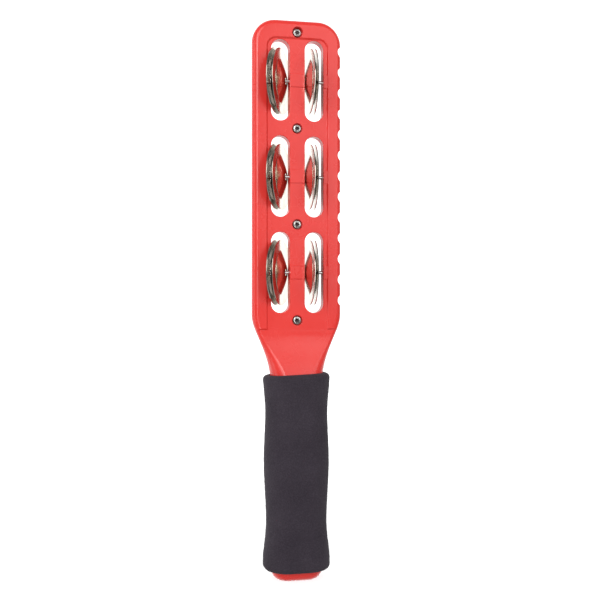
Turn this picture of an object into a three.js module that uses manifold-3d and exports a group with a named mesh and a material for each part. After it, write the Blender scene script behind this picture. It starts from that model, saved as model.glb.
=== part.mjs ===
// A hand jingle stick: a red plastic head on a neck and handle, moulded as a front and a back half,
// with two columns of slots, steel cross pins that carry loose jingle discs, a notched scraper edge
// and a foam sleeve on the handle. Millimetres, +Z up along the stick, front face towards -Y, and
// the origin in the middle of the flat butt end.
import * as THREE from "three";
import { mergeVertices } from "three/addons/utils/BufferGeometryUtils.js";
import Module from "manifold-3d";

const wasm = await Module();
wasm.setup();

// ---- Driving dimensions ----

const CLEARANCE = 0.3; // between pieces that touch or seat on each other

// Jingle discs
const JINGLE_DIAMETER = 45;
const JINGLE_SHEET = 0.7;
const DOME_DIAMETER = 31;
const DOME_HEIGHT = 3;
const JINGLE_HOLE = 4.8;
const DISC_STEPS = 28;

// Cross pins
const PIN_DIAMETER = 2.4;
const PIN_IN_RAIL = 7.6; // how far a pin's end reaches into a side rail

// Head: rows of slots, one slot on each side of a central rib
const ROWS = 3; // one for each of the row names below
const RIB_WIDTH = 10.5;
const SLOT_WIDTH = 12.8;
const RAIL_WIDTH = 12.7;
const SLOT_END_ROOM = 4.95; // above and below a disc
const SLOT_CHAMFER = 0.4;
const BRIDGE = 10.3; // between the slots of two rows
const HEAD_TOP_MARGIN = 13.65;
const HEAD_FOOT = 1.05; // straight sides below the last slot
const HEAD_CORNER = 16;
const PANEL_THICKNESS = 7.4; // recessed middle of the head, and the neck
const RIM_RISE = 1; // how far the rim stands above the panel on each face
const EDGE_ROUND = 4;
const RIM_WIDTH = 10.15; // side rim, from the outer edge to the step
const RIM_WIDTH_TOP = 12.9;
const STEP_RUN = 0.9;
const PANEL_CORNER = 6;
const RIM_END_BELOW = 11; // where the rims stop on the neck, below the head's straight sides
const PAD_HEIGHT = 9; // raised pad over each pin
const PAD_RISE = 0.6;

// Scraper notches in the +X edge
const NOTCH_PITCH_NEAR = 14.2; // rounded so that whole notches fill the edge
const NOTCH_DEPTH = 2.6;
const NOTCH_MOUTH = 7.4;
const NOTCHES_BELOW_TOP = 20.1;
const NOTCHES_ABOVE_FOOT = 9.6;

// Neck and handle
const NECK_LENGTH = 48;
const HANDLE_LENGTH = 132;
const CORE_WIDTH = 34.6;
const CORE_THICKNESS = 24;
const CORE_CORNER = 11;
const NECK_SHOULDER = 1.2; // how far the neck's side still stands out where it nears the handle
const NECK_THINNING = 34; // height over which the handle's thickness comes down to the neck's
const PLUG_LENGTH = 3; // how far the neck runs on inside the head
const BUTT_ROUND = 7;

// Walls and bosses inside the halves
const OUTER_WALL = 3.6;
const FACE_WALL = 2;
const CORE_WALL = 3;
const SLOT_WALL = 2;
const PIN_SEAT_HEIGHT = 7;
const POST_DIAMETER = 10;

// Screws, one in each bridge and one beyond each end slot
const SCREW_HEAD = 5.8;
const SCREW_HEAD_HEIGHT = 1.7;
const SCREW_SHANK = 2.8;
const SCREW_REACH = 2.4; // how far the shank reaches into the back half
const COUNTERBORE = 7;
const COUNTERBORE_DEPTH = 2.2;
const DRIVE_SIZE = 3.4; // six-lobed socket, across its lobes
const DRIVE_DEPTH = 1.1;

// Foam sleeve: how far it stands out from the handle's core at shares of its length
const FOAM_BOTTOM = 7;
const FOAM_UP_NECK = 7.6; // past the handle's end
const FOAM_END_ROUND = 3;
const FOAM_WAVE = [
  [0, 5.3],
  [0.07, 5.35],
  [0.25, 3.3],
  [0.54, 4.9],
  [0.8, 3.85],
  [0.96, 5.3],
  [1, 5.25],
];

// How the two discs in a slot hang at rest: each leans about the stick's axis, its front rim away
// from the rib. The inner one rests against the rib, and the outer one stands at a share of the way
// from its partner to the rail.
const REST_GAP = 0.3;
const STACK_SPACING = 3.4; // between two stacked discs, along the pin
const DISC_SETTLE = 0.3; // share of the hole's play that a leaning disc takes up
const SLOT_SIDES = [
  { side: "left", sign: -1, innerLean: 27.2, outerLean: 27.8, spread: 0.085 },
  { side: "right", sign: 1, innerLean: -1.5, outerLean: -5, spread: 0 },
];
const ROW_NAMES = ["top", "middle", "bottom"];

// ---- Sizes that follow from them ----

const rad = THREE.MathUtils.degToRad;
const SLOT_LENGTH = JINGLE_DIAMETER + 2 * SLOT_END_ROOM;
const ROW_PITCH = SLOT_LENGTH + BRIDGE;
const HEAD_LENGTH = HEAD_TOP_MARGIN + ROWS * SLOT_LENGTH + (ROWS - 1) * BRIDGE + HEAD_FOOT;
const HEAD_FOOT_Z = HANDLE_LENGTH + NECK_LENGTH;
const TOP_Z = HEAD_FOOT_Z + HEAD_LENGTH;
const RIB_FACE = RIB_WIDTH / 2;
const RAIL_FACE = RIB_FACE + SLOT_WIDTH;
const HEAD_HALF = RAIL_FACE + RAIL_WIDTH;
const SLOT_MIDDLE = RIB_FACE + SLOT_WIDTH / 2;
const PANEL_HALF = PANEL_THICKNESS / 2;
const RIM_FACE = PANEL_HALF + RIM_RISE;
const CORE_HALF = CORE_WIDTH / 2;
const PIN_RADIUS = PIN_DIAMETER / 2;
const PIN_HALF_LENGTH = RAIL_FACE + PIN_IN_RAIL;
const RIM_END_Z = HEAD_FOOT_Z - RIM_END_BELOW;
const FLOOR_OF_COUNTERBORE = PANEL_HALF - COUNTERBORE_DEPTH;
const FOAM_TOP = HANDLE_LENGTH + FOAM_UP_NECK;
const BEYOND = 5; // how far a cutting shape runs past what it cuts
const rows = Array.from({ length: ROWS }, (_, i) => ({
  name: ROW_NAMES[i],
  z: TOP_Z - HEAD_TOP_MARGIN - SLOT_LENGTH / 2 - i * ROW_PITCH,
}));
const screwHeights = Array.from(
  { length: ROWS + 1 },
  (_, i) => rows[0].z + ROW_PITCH / 2 - i * ROW_PITCH,
);

// ---- Materials ----

const plastic = () =>
  new THREE.MeshStandardMaterial({ color: 0xe8352f, roughness: 0.35, metalness: 0 });
const steel = () =>
  new THREE.MeshStandardMaterial({ color: 0xc9c8c4, roughness: 0.15, metalness: 1 });
const foam = () =>
  new THREE.MeshStandardMaterial({ color: 0x3b343c, roughness: 0.95, metalness: 0 });

// ---- Joining and cutting ----

function solid(geometry) {
  const bare = new THREE.BufferGeometry();
  bare.setAttribute("position", geometry.getAttribute("position"));
  if (geometry.index) bare.setIndex(geometry.index);
  const merged = mergeVertices(bare, 1e-4);
  return new wasm.Manifold(
    new wasm.Mesh({
      numProp: 3,
      vertProperties: new Float32Array(merged.attributes.position.array),
      triVerts: new Uint32Array(merged.index.array),
    }),
  );
}

function meshOf(name, body, material) {
  const made = body.getMesh();
  const geometry = new THREE.BufferGeometry();
  geometry.setAttribute("position", new THREE.BufferAttribute(made.vertProperties, 3));
  geometry.setIndex(new THREE.BufferAttribute(made.triVerts, 1));
  geometry.computeVertexNormals();
  const mesh = new THREE.Mesh(geometry, material);
  mesh.name = name;
  return mesh;
}

const joined = (pieces) => pieces.reduce((all, piece) => all.add(piece));
const cut = (body, tools) => tools.reduce((left, tool) => left.subtract(tool), body);

// A box given by its lowest and highest corners.
function box(low, high) {
  const size = high.map((value, i) => value - low[i]);
  const middle = high.map((value, i) => (value + low[i]) / 2);
  return solid(new THREE.BoxGeometry(...size).translate(...middle));
}

// A round bar along X or Y.
function bar(axis, radius, from, to, x, y, z, sides = 18) {
  const geometry = new THREE.CylinderGeometry(radius, radius, to - from, sides);
  if (axis === "x") geometry.rotateZ(-Math.PI / 2).translate((from + to) / 2, y, z);
  else geometry.translate(x, (from + to) / 2, z);
  return solid(geometry);
}

// A flat outline drawn in X and Z, made a plate from y = -half to y = half. A round takes its edges
// down in a quarter circle.
function plate(shape, half, round = 0, curveSegments = 8) {
  const geometry = new THREE.ExtrudeGeometry(shape, {
    depth: 2 * (half - round),
    curveSegments,
    bevelEnabled: round > 0,
    bevelSize: round,
    bevelOffset: -round,
    bevelThickness: round,
    bevelSegments: 4,
  });
  return solid(geometry.translate(0, 0, round - half).rotateX(Math.PI / 2));
}

// A skin over rings of points, which all have the same number of points. Open ends are capped flat.
function loft(rings, closed = false) {
  const count = rings[0].length;
  const points = rings.flat();
  const faces = [];
  const quad = (a, b, c, d) => faces.push(a, b, c, a, c, d);
  const spans = closed ? rings.length : rings.length - 1;
  for (let k = 0; k < spans; k += 1) {
    const low = k * count;
    const high = ((k + 1) % rings.length) * count;
    for (let i = 0; i < count; i += 1) {
      const next = (i + 1) % count;
      quad(low + i, low + next, high + next, high + i);
    }
  }
  if (!closed) {
    const top = (rings.length - 1) * count;
    for (let i = 1; i < count - 1; i += 1) {
      faces.push(0, i + 1, i);
      faces.push(top, top + i, top + i + 1);
    }
  }
  const geometry = new THREE.BufferGeometry().setFromPoints(points);
  geometry.setIndex(faces);
  return solid(geometry);
}

// A rounded rectangle in X and Y at one height, anticlockwise seen from above.
function roundedRing(z, halfX, halfY, corner, steps = 5) {
  const r = Math.min(corner, halfX - 0.01, halfY - 0.01);
  const ring = [];
  for (let quarter = 0; quarter < 4; quarter += 1) {
    const start = (quarter * Math.PI) / 2;
    const cx = (quarter === 0 || quarter === 3 ? 1 : -1) * (halfX - r);
    const cy = (quarter < 2 ? 1 : -1) * (halfY - r);
    for (let i = 0; i <= steps; i += 1) {
      const angle = start + (i / steps) * (Math.PI / 2);
      ring.push(new THREE.Vector3(cx + r * Math.cos(angle), cy + r * Math.sin(angle), z));
    }
  }
  return ring;
}

// ---- Head ----

// The neck's side, from the head's straight edge down to the handle's core.
const neckSide = new THREE.CubicBezierCurve(
  new THREE.Vector2(HEAD_HALF, HEAD_FOOT_Z),
  new THREE.Vector2(HEAD_HALF, HEAD_FOOT_Z - NECK_LENGTH / 4),
  new THREE.Vector2(CORE_HALF + NECK_SHOULDER, HEAD_FOOT_Z - NECK_LENGTH / 2),
  new THREE.Vector2(CORE_HALF, HANDLE_LENGTH),
);

// Half the neck's width at a height, found on the side curve.
function neckHalfWidth(z) {
  let low = 0;
  let high = 1;
  for (let i = 0; i < 30; i += 1) {
    const middle = (low + high) / 2;
    if (neckSide.getPoint(middle).y > z) low = middle;
    else high = middle;
  }
  return neckSide.getPoint(low).x;
}

// The outline of the head down to the end of its rims, drawn inset all round. Its lower end is flat
// and runs on below the rims' end, where the head is cut off.
function headOutline(inset) {
  const half = HEAD_HALF - inset;
  const top = TOP_Z - inset;
  const corner = HEAD_CORNER - inset;
  const side = neckSide.getPoints(10).filter((p) => p.y < HEAD_FOOT_Z - 1e-6);
  const shape = new THREE.Shape();
  shape.moveTo(half, top - corner);
  shape.absarc(half - corner, top - corner, corner, 0, Math.PI / 2);
  shape.absarc(corner - half, top - corner, corner, Math.PI / 2, Math.PI);
  shape.lineTo(-half, HEAD_FOOT_Z);
  side.forEach((p) => shape.lineTo(inset - p.x, p.y));
  side.reverse().forEach((p) => shape.lineTo(p.x - inset, p.y));
  shape.lineTo(half, HEAD_FOOT_Z);
  shape.closePath();
  return shape;
}

// The recessed panel's outline, grown by a margin. It runs off the lower end of the rims.
function panelOutline(grow) {
  const half = HEAD_HALF - RIM_WIDTH + grow;
  const top = TOP_Z - RIM_WIDTH_TOP + grow;
  const corner = PANEL_CORNER + grow;
  const ring = [];
  for (let i = 0; i <= 6; i += 1) {
    const angle = (i / 6) * (Math.PI / 2);
    ring.push([half - corner + corner * Math.cos(angle), top - corner + corner * Math.sin(angle)]);
  }
  const mirrored = ring.map(([x, z]) => [-x, z]).reverse();
  return [[half, RIM_END_Z - BEYOND], ...ring, ...mirrored, [-half, RIM_END_Z - BEYOND]];
}

// Rings of [x, z] outlines at depths y, joined into one cutting shape.
const ringsAlongY = (levels) =>
  loft(levels.map(([y, outline]) => outline.map(([x, z]) => new THREE.Vector3(x, y, z)).reverse()));

const OVER_RIM = RIM_FACE + BEYOND;
const panelCut = (sign) => {
  const levels = [
    [sign * PANEL_HALF, panelOutline(0)],
    [sign * RIM_FACE, panelOutline(STEP_RUN)],
    [sign * OVER_RIM, panelOutline(STEP_RUN)],
  ];
  return ringsAlongY(sign > 0 ? levels : levels.reverse());
};

// A slot's outline: straight sides and round ends, grown by a margin.
function slotOutline(x, z, grow) {
  const r = SLOT_WIDTH / 2 + grow;
  const reach = (SLOT_LENGTH - SLOT_WIDTH) / 2;
  const ring = [];
  for (const end of [0, Math.PI]) {
    for (let i = 0; i <= 9; i += 1) {
      const angle = end + (i / 9) * Math.PI;
      ring.push([x + r * Math.cos(angle), z + (end ? -reach : reach) + r * Math.sin(angle)]);
    }
  }
  return ring;
}

const slotPlaces = rows.flatMap(({ z }) => [
  [-SLOT_MIDDLE, z],
  [SLOT_MIDDLE, z],
]);

const slotCut = ([x, z]) =>
  ringsAlongY([
    [-OVER_RIM, slotOutline(x, z, SLOT_CHAMFER)],
    [-PANEL_HALF, slotOutline(x, z, SLOT_CHAMFER)],
    [SLOT_CHAMFER - PANEL_HALF, slotOutline(x, z, 0)],
    [PANEL_HALF - SLOT_CHAMFER, slotOutline(x, z, 0)],
    [PANEL_HALF, slotOutline(x, z, SLOT_CHAMFER)],
    [OVER_RIM, slotOutline(x, z, SLOT_CHAMFER)],
  ]);

// The wall that lines a slot inside the head.
const slotLining = ([x, z]) =>
  ringsAlongY([
    [-PANEL_HALF, slotOutline(x, z, SLOT_WALL)],
    [PANEL_HALF, slotOutline(x, z, SLOT_WALL)],
  ]);

// Round-bottomed notches, evenly spaced down the straight +X edge.
function scraperNotches() {
  const radius = (NOTCH_MOUTH ** 2 / 4 + NOTCH_DEPTH ** 2) / (2 * NOTCH_DEPTH);
  const span = HEAD_LENGTH - NOTCHES_BELOW_TOP - NOTCHES_ABOVE_FOOT;
  const gaps = Math.round(span / NOTCH_PITCH_NEAR);
  const x = HEAD_HALF + radius - NOTCH_DEPTH;
  return Array.from({ length: gaps + 1 }, (_, i) => {
    const z = TOP_Z - NOTCHES_BELOW_TOP - (i * span) / gaps;
    return bar("y", radius, -OVER_RIM, OVER_RIM, x, 0, z, 16);
  });
}

function headSolid() {
  const slab = plate(headOutline(0), RIM_FACE, EDGE_ROUND);
  const above = box([-HEAD_HALF * 2, -OVER_RIM, RIM_END_Z], [HEAD_HALF * 2, OVER_RIM, TOP_Z + BEYOND]);
  const shaped = cut(slab.intersect(above), [panelCut(-1), panelCut(1)]);
  const padHalf = HEAD_HALF - RIM_WIDTH + STEP_RUN;
  const pads = rows.map(({ z }) =>
    box(
      [-padHalf, -PANEL_HALF - PAD_RISE, z - PAD_HEIGHT / 2],
      [padHalf, PANEL_HALF + PAD_RISE, z + PAD_HEIGHT / 2],
    ),
  );
  return cut(joined([shaped, ...pads]), scraperNotches());
}

// ---- Handle and neck ----

// The section at a height: a rounded rectangle that widens and thins up the neck.
function coreRing(z, grow) {
  const rise = THREE.MathUtils.smoothstep(z, HANDLE_LENGTH, HANDLE_LENGTH + NECK_THINNING);
  const halfX = z > HANDLE_LENGTH ? neckHalfWidth(z) : CORE_HALF;
  const halfY = THREE.MathUtils.lerp(CORE_THICKNESS / 2, PANEL_HALF, rise);
  const corner = THREE.MathUtils.lerp(CORE_CORNER, EDGE_ROUND, rise);
  return roundedRing(z, halfX + grow, halfY + grow, Math.max(corner + grow, 0.5));
}

// Heights up the neck, from the handle's end to a top height.
const neckHeights = (top) =>
  Array.from({ length: 10 }, (_, i) => THREE.MathUtils.lerp(HANDLE_LENGTH, top, i / 9));

function handleSolid() {
  const butt = [0, 1, 2, 3].map((i) => {
    const angle = (i / 4) * (Math.PI / 2);
    return coreRing(BUTT_ROUND * (1 - Math.cos(angle)), BUTT_ROUND * (Math.sin(angle) - 1));
  });
  const plug = coreRing(RIM_END_Z + PLUG_LENGTH, -CLEARANCE);
  const up = neckHeights(RIM_END_Z).map((z) => coreRing(z, 0));
  return loft([...butt, coreRing(BUTT_ROUND, 0), ...up, plug]);
}

// ---- The two moulded halves ----

// The hollow inside both halves, less the slot linings, pin seats and screw posts left standing in it.
function hollow() {
  const inHandle = loft([
    coreRing(BUTT_ROUND, -CORE_WALL),
    ...neckHeights(RIM_END_Z + BEYOND).map((z) => coreRing(z, -CORE_WALL)),
  ]);
  const inHead = plate(headOutline(OUTER_WALL), PANEL_HALF - FACE_WALL);
  const seats = rows.map(({ z }) =>
    box(
      [-HEAD_HALF, -PANEL_HALF, z - PIN_SEAT_HEIGHT / 2],
      [HEAD_HALF, PANEL_HALF, z + PIN_SEAT_HEIGHT / 2],
    ),
  );
  const posts = screwHeights.map((z) => bar("y", POST_DIAMETER / 2, -PANEL_HALF, PANEL_HALF, 0, 0, z));
  return cut(inHandle.add(inHead), [...slotPlaces.map(slotLining), ...seats, ...posts]);
}

function shellPair() {
  const pinBores = rows.map(({ z }) => {
    const end = PIN_HALF_LENGTH + CLEARANCE;
    return bar("x", PIN_RADIUS + CLEARANCE, -end, end, 0, 0, z, 16);
  });
  const screwBores = screwHeights.flatMap((z) => [
    bar("y", COUNTERBORE / 2, -OVER_RIM, -FLOOR_OF_COUNTERBORE, 0, 0, z),
    bar("y", SCREW_SHANK / 2 + CLEARANCE, -PANEL_HALF, SCREW_REACH + CLEARANCE, 0, 0, z, 16),
  ]);
  const whole = cut(headSolid().add(handleSolid()), [
    hollow(),
    ...slotPlaces.map(slotCut),
    ...pinBores,
    ...screwBores,
  ]);
  const reach = HEAD_HALF * 2;
  const parting = CLEARANCE / 2;
  const front = whole.intersect(box([-reach, -reach, -BEYOND], [reach, -parting, TOP_Z + BEYOND]));
  const back = whole.intersect(box([-reach, parting, -BEYOND], [reach, reach, TOP_Z + BEYOND]));
  return [meshOf("front_shell", front, plastic()), meshOf("back_shell", back, plastic())];
}

// ---- Turned pieces ----

// A piece turned about the Y axis from a profile of [radius, y] points.
function turned(profile, steps) {
  const points = profile.map(([r, y]) => new THREE.Vector2(r, y));
  return solid(new THREE.LatheGeometry(points, steps));
}

// ---- Jingles ----

// The disc's section as [radius, height] points, its heights counted from the middle of the sheet at
// the hole's edge: up the domed side from the rim to the hole, then back down the hollow side.
const SHEET_HALF = JINGLE_SHEET / 2;
const DISC_RADIUS = JINGLE_DIAMETER / 2;
const DOME_RADIUS = DOME_DIAMETER / 2;
const HOLE_RADIUS = JINGLE_HOLE / 2;
const domeLine = [
  [DISC_RADIUS, 0],
  [DOME_RADIUS + 0.6, 0],
  [DOME_RADIUS - 0.9, 0.16],
  [(DOME_RADIUS + HOLE_RADIUS) / 2, 0.62],
  [HOLE_RADIUS, 1],
];
const onLine = (offset) => domeLine.map(([r, share]) => [r, (share - 1) * DOME_HEIGHT + offset]);
const discSection = [...onLine(SHEET_HALF), ...onLine(-SHEET_HALF).reverse()];
const HOLE_PLAY = HOLE_RADIUS - PIN_RADIUS;

// How far a leaning disc's hole stands off the pin's axis, front to back.
const settle = (lean) => Math.min(DOME_HEIGHT * Math.sin(lean), DISC_SETTLE * HOLE_PLAY);

// How far a leaning disc reaches from its hole towards the rib (1) or the rail (-1), where it is
// inside the slot and as the slot's chamfered edges leave room for it.
function reachOf(lean, towards) {
  const [cos, sin] = [Math.cos(lean), Math.sin(lean)];
  const steps = 20;
  let reach = -Infinity;
  for (let i = 0; i < discSection.length * steps; i += 1) {
    const from = discSection[Math.floor(i / steps)];
    const to = discSection[(Math.floor(i / steps) + 1) % discSection.length];
    const r = THREE.MathUtils.lerp(from[0], to[0], (i % steps) / steps);
    const h = THREE.MathUtils.lerp(from[1], to[1], (i % steps) / steps);
    for (let along = -r; along <= r; along += r / (2 * steps)) {
      const y = Math.abs(along * cos - h * sin - settle(lean));
      const room = Math.max(0, y - (PANEL_HALF - SLOT_CHAMFER));
      if (y < PANEL_HALF) reach = Math.max(reach, towards * (h * cos + along * sin) - room);
    }
  }
  return reach;
}

function jingle(name, sign, lean, x) {
  const body = turned([...discSection, discSection[0]], DISC_STEPS);
  const disc = meshOf(name, body, steel());
  disc.geometry.rotateZ((sign * Math.PI) / 2);
  disc.rotation.z = sign * lean;
  disc.position.set(sign * x, -settle(lean), 0);
  return disc;
}

function jingleRow({ name, z }) {
  const row = new THREE.Group();
  for (const { side, sign, innerLean, outerLean, spread } of SLOT_SIDES) {
    const inner = RIB_FACE + REST_GAP + reachOf(rad(innerLean), 1);
    const furthest = RAIL_FACE - REST_GAP - reachOf(rad(outerLean), -1);
    const outer = THREE.MathUtils.lerp(inner + STACK_SPACING, furthest, spread);
    row.add(jingle(`jingle_${name}_${side}_inner`, sign, rad(innerLean), inner));
    row.add(jingle(`jingle_${name}_${side}_outer`, sign, rad(outerLean), outer));
  }
  row.position.z = z;
  return row;
}

// ---- Cross pins ----

function crossPin({ name, z }) {
  const body = bar("x", PIN_RADIUS, -PIN_HALF_LENGTH, PIN_HALF_LENGTH, 0, 0, 0, 16);
  const pin = meshOf(`cross_pin_${name}`, body, steel());
  pin.position.z = z;
  return pin;
}

// ---- Screws ----

// A pan-headed screw along +Y, with the seat of its head at y = 0 and a six-lobed socket.
function screw(name, z) {
  const head = SCREW_HEAD / 2;
  const shank = SCREW_SHANK / 2;
  const tip = FLOOR_OF_COUNTERBORE + CLEARANCE + SCREW_REACH;
  const blank = turned(
    [
      [0, -SCREW_HEAD_HEIGHT],
      [head * 0.65, -SCREW_HEAD_HEIGHT],
      [head * 0.92, -SCREW_HEAD_HEIGHT * 0.8],
      [head, -SCREW_HEAD_HEIGHT * 0.4],
      [head, 0],
      [shank, 0],
      [shank, tip - shank],
      [shank / 2, tip],
      [0, tip],
    ],
    20,
  );
  const lobes = new THREE.Shape();
  for (let i = 0; i < 24; i += 1) {
    const angle = (i / 24) * 2 * Math.PI;
    const r = (DRIVE_SIZE / 2) * (0.87 + 0.13 * Math.cos(6 * angle));
    if (i === 0) lobes.moveTo(r, 0);
    else lobes.lineTo(r * Math.cos(angle), r * Math.sin(angle));
  }
  const socket = plate(lobes, DRIVE_DEPTH, 0, 1).translate([0, -SCREW_HEAD_HEIGHT, 0]);
  const piece = meshOf(name, blank.subtract(socket), steel());
  piece.position.set(0, -FLOOR_OF_COUNTERBORE - CLEARANCE, z);
  return piece;
}

// ---- Foam sleeve ----

// The outside follows a soft wave up the handle, and the inside follows the core and the neck's foot.
function foamGrip() {
  const top = FOAM_TOP;
  const wave = new THREE.SplineCurve(
    FOAM_WAVE.map(([share, out]) => new THREE.Vector2(out, THREE.MathUtils.lerp(FOAM_BOTTOM, top, share))),
  ).getPoints(20);
  const low = FOAM_BOTTOM + FOAM_END_ROUND;
  const high = top - FOAM_END_ROUND;
  const outAt = (z) => {
    const k = Math.max(1, wave.findIndex((p) => p.y >= z));
    const [a, b] = [wave[k - 1], wave[k]];
    return THREE.MathUtils.mapLinear(z, a.y, b.y, a.x, b.x);
  };
  const straightRing = (z, out) => roundedRing(z, CORE_HALF + out, CORE_THICKNESS / 2 + out, CORE_CORNER + out);
  const round = (end, middle) => (i) => {
    const angle = (i / 3) * (Math.PI / 2);
    const z = middle + (end - middle) * Math.cos(angle);
    return straightRing(z, outAt(middle) - FOAM_END_ROUND * (1 - Math.sin(angle)));
  };
  const steps = [0, 1, 2];
  const outside = Array.from({ length: 16 }, (_, i) => {
    const z = THREE.MathUtils.lerp(low, high, i / 15);
    return straightRing(z, outAt(z));
  });
  const inside = [top, (top + HANDLE_LENGTH) / 2, HANDLE_LENGTH, BUTT_ROUND, FOAM_BOTTOM].map((z) =>
    coreRing(z, CLEARANCE),
  );
  const skin = loft(
    [
      ...steps.map(round(FOAM_BOTTOM, low)),
      ...outside,
      ...steps.map(round(top, high)).reverse(),
      ...inside,
    ],
    true,
  );
  return meshOf("foam_grip", skin, foam());
}

// ---- The whole stick ----

const stick = new THREE.Group();
stick.add(
  ...shellPair(),
  ...rows.map(crossPin),
  ...rows.map(jingleRow),
  ...screwHeights.map((z, i) => screw(`screw_${i + 1}`, z)),
  foamGrip(),
);

export default stick;
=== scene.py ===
"""A hand jingle stick: a red moulded head with two columns of slots, steel pins and loose jingle
discs in the slots, a notched scraper edge, and a foam sleeve on the handle."""

import math

import bmesh
import bpy
import numpy as np
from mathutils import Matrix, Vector, noise


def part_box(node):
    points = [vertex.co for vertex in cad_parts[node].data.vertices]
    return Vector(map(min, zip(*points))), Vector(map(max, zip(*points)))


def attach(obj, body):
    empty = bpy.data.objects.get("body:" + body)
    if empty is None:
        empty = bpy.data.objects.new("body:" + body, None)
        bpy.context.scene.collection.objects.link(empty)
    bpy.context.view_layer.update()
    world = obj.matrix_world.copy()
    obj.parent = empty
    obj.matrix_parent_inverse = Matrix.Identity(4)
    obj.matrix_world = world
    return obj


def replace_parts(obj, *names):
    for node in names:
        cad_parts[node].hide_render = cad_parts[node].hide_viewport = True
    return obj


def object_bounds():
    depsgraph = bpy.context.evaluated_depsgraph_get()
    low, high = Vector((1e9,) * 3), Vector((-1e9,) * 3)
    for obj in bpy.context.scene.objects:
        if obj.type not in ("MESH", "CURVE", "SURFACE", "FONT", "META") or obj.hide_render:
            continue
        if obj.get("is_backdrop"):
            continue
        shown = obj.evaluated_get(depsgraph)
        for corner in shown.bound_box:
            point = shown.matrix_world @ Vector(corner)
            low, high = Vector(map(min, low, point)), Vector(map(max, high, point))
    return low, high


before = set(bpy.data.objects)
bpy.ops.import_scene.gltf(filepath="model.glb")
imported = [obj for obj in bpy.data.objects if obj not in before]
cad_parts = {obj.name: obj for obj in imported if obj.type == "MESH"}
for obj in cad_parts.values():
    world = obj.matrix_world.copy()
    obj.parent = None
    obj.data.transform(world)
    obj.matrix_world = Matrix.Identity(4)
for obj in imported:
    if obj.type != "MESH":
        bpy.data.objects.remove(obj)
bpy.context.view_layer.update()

# ---- Studio ----
# A pale floor that fades out before its edge, and surroundings that are bright behind the stick and
# dim in front. Two broad soft lights stand in front, and two upright strips draw the rounded edges.
# The camera is level with the stick's middle, a little to its left.

scene = bpy.context.scene
scene.view_settings.view_transform = "Standard"

CAMERA_DISTANCE = 0.64
CAMERA_TURN = math.radians(12.2)
FIELD_WIDTH = 0.4099
aim = Vector((0.0025, -0.00054, 0.1898))

camera = bpy.data.objects.new("camera", bpy.data.cameras.new("camera"))
scene.collection.objects.link(camera)
camera.location = aim + CAMERA_DISTANCE * Vector((-math.sin(CAMERA_TURN), -math.cos(CAMERA_TURN), 0))
camera.rotation_euler = (math.pi / 2, 0, -CAMERA_TURN)
camera.data.sensor_width = 36
camera.data.lens = camera.data.sensor_width * CAMERA_DISTANCE / FIELD_WIDTH
camera.data.clip_start = 0.01
camera.data.clip_end = 50
scene.camera = camera


def node(tree, kind, **settings):
    """A node of a kind, with its settings."""
    made = tree.nodes.new(kind)
    for name, value in settings.items():
        setattr(made, name, value)
    return made


def feed(tree, socket, value):
    """Give a socket a plain value, or another node's output."""
    if isinstance(value, bpy.types.NodeSocket):
        tree.links.new(value, socket)
    else:
        socket.default_value = value


def linked(tree, links):
    """Links in a node tree, each from an output to an input."""
    for start, end in links:
        tree.links.new(start, end)


def ranged(tree, value, low, high, from_low=0.0, from_high=1.0, smooth=False):
    """A value brought from one range into another."""
    made = node(tree, "ShaderNodeMapRange", interpolation_type="SMOOTHSTEP" if smooth else "LINEAR")
    made.inputs["From Min"].default_value = from_low
    feed(tree, made.inputs["From Max"], from_high)
    made.inputs["To Min"].default_value = low
    made.inputs["To Max"].default_value = high
    tree.links.new(value, made.inputs["Value"])
    return made.outputs["Result"]


SKY_TOP = 0.72
SKY_IN_FRONT = 0.25
SKY_BEHIND = 1.45

surroundings = bpy.data.worlds.new("white surroundings")
surroundings.use_nodes = True
scene.world = surroundings
sky = surroundings.node_tree
sky.nodes.clear()
direction = node(sky, "ShaderNodeTexCoord")
parts = node(sky, "ShaderNodeSeparateXYZ")
strength = node(sky, "ShaderNodeMath", operation="MULTIPLY")
background = node(sky, "ShaderNodeBackground")
background.inputs["Color"].default_value = (1, 1, 1, 1)
world_out = node(sky, "ShaderNodeOutputWorld")
by_height = ranged(sky, parts.outputs["Z"], 1, SKY_TOP, 0.25, 0.95, smooth=True)
by_depth = ranged(sky, parts.outputs["Y"], SKY_IN_FRONT, SKY_BEHIND, -0.1, 0.6, smooth=True)
linked(
    sky,
    [
        (direction.outputs["Generated"], parts.inputs[0]),
        (by_height, strength.inputs[0]),
        (by_depth, strength.inputs[1]),
        (strength.outputs[0], background.inputs["Strength"]),
        (background.outputs[0], world_out.inputs["Surface"]),
    ],
)


def soft_light(name, place, wide, tall, power):
    """A softbox that faces the stick's middle."""
    light = bpy.data.lights.new(name, "AREA")
    light.shape = "RECTANGLE"
    light.size = wide
    light.size_y = tall
    light.energy = power
    made = bpy.data.objects.new(name, light)
    made.location = place
    made.rotation_euler = (aim - Vector(place)).to_track_quat("-Z", "Y").to_euler()
    scene.collection.objects.link(made)


soft_light("key softbox", (-0.7, -1.4, 1.05), 1.2, 1.2, 14.5)
soft_light("fill softbox", (0.8, -1.45, 0.75), 1.2, 1.2, 8)
soft_light("strip softbox", (-0.33, -1.2, 0.25), 0.12, 1.4, 4)
soft_light("side softbox", (-1.4, -0.2, 0.3), 0.3, 1.2, 3)

FLOOR_RADIUS = 0.6
FLOOR_FADE_START = 0.02
FLOOR_CLEAR = 0.55


def round_angles(count):
    """Evenly spaced angles, once round."""
    return np.linspace(0, 2 * math.pi, count + 1)[:-1]


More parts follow.
